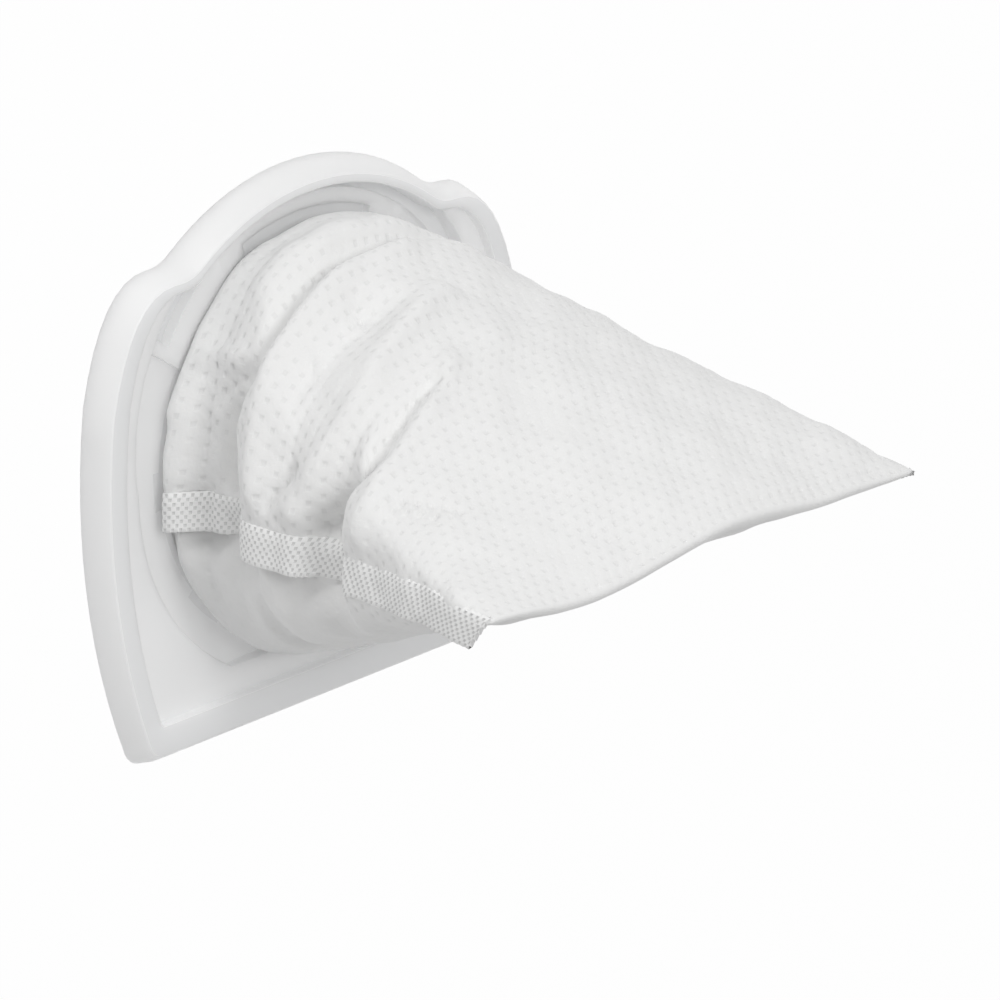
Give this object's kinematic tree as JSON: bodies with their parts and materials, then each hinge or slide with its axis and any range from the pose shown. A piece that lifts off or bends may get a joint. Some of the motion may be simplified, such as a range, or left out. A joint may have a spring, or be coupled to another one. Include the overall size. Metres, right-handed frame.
{
  "type": "handheld vacuum filter",
  "caption": "Domed flat frame of translucent plastic with a round mouth that carries a nonwoven fabric dust bag, closed by a straight fold at its far end.",
  "frame": {"origin": "middle of the mouth, in the plane of the frame's rear edge, which the part rests on", "axes": "+Z along the bag from the mouth to the far fold, +Y to the domed side of the frame, +X across the frame along the fold"},
  "size_m": [0.1168, 0.1074, 0.1017],
  "materials": {
    "frame": "translucent white polypropylene, satin",
    "filter_bag": "white spot-bonded nonwoven"
  },
  "bodies": {
    "root": {"frame": "frame", "filter_bag": "filter_bag"}
  },
  "joints": []
}
